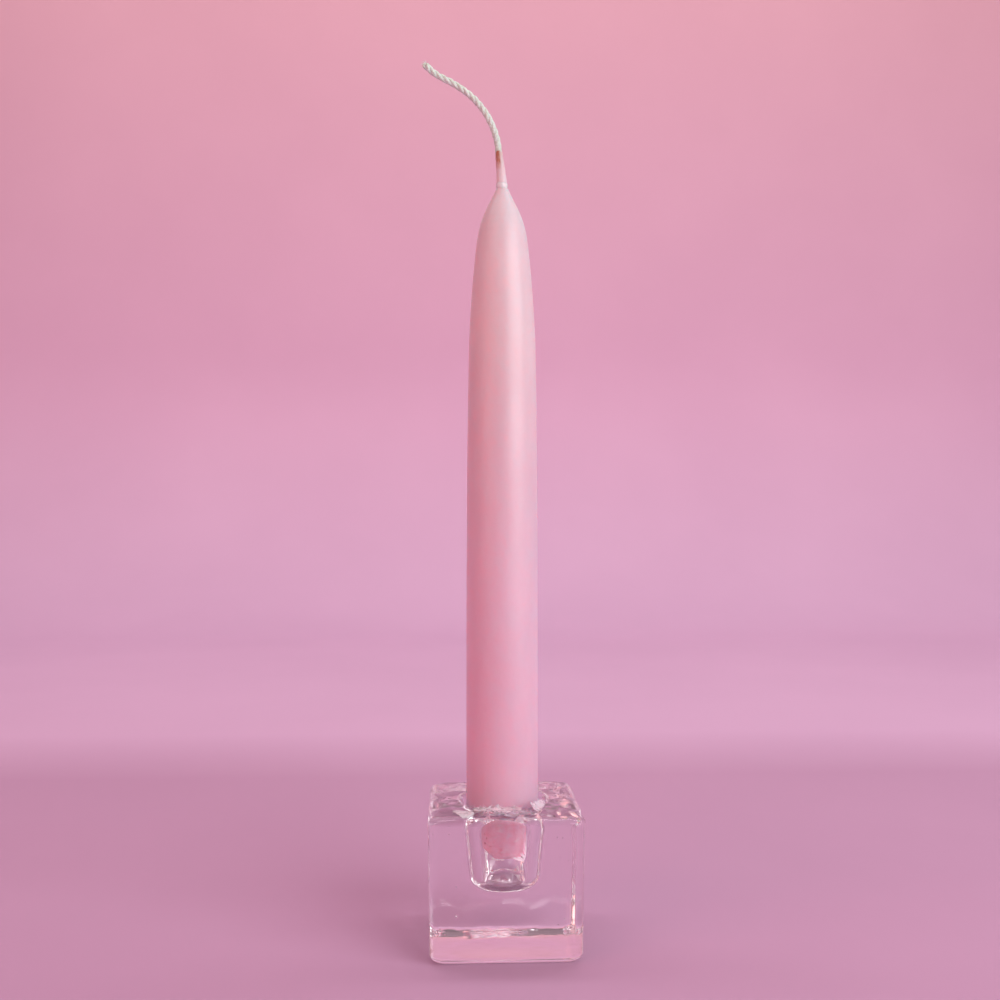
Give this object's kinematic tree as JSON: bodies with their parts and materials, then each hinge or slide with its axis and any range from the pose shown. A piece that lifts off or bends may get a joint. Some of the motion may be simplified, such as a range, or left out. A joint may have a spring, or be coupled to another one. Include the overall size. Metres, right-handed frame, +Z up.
{
  "type": "dipped taper candle in a glass block holder",
  "caption": "Hand-dipped taper candle with a long twisted wick, seated in the tapered socket of a clear cube-shaped glass holder, with wax shavings round the rim.",
  "frame": {"origin": "centre of the glass holder's base, on the surface it stands on", "axes": "+Z up along the candle's axis, +X to the viewer's right, +Y away from the viewer, square to the holder's front face"},
  "size_m": [0.0481, 0.0458, 0.269],
  "materials": {
    "clear_glass": "gloss",
    "pink_coat_wax": "satin",
    "pink_core_wax": "satin",
    "cotton_wick": "matte",
    "sleeve_wax": "satin",
    "pale_wax": "satin"
  },
  "bodies": {
    "holder": {"glass_holder": "clear_glass", "rim_film_left": "pale_wax", "rim_lump_left": "pale_wax", "rim_curls_front": "pale_wax", "rim_flake_right": "pale_wax"},
    "candle": {"wax_core": "pink_core_wax", "wax_coat": "pink_coat_wax", "wick_core": "cotton_wick", "wick_tail": "cotton_wick", "wick_sleeve": "sleeve_wax", "neck_bead": "pale_wax", "foot_shaving": "pale_wax", "foot_crumbs": "pale_wax"}
  },
  "joints": [
    {"name": "candle_lift", "type": "slide", "parent": "holder", "child": "candle", "axis": [0, 0, 1], "range_m": [0, 0.03]}
  ]
}
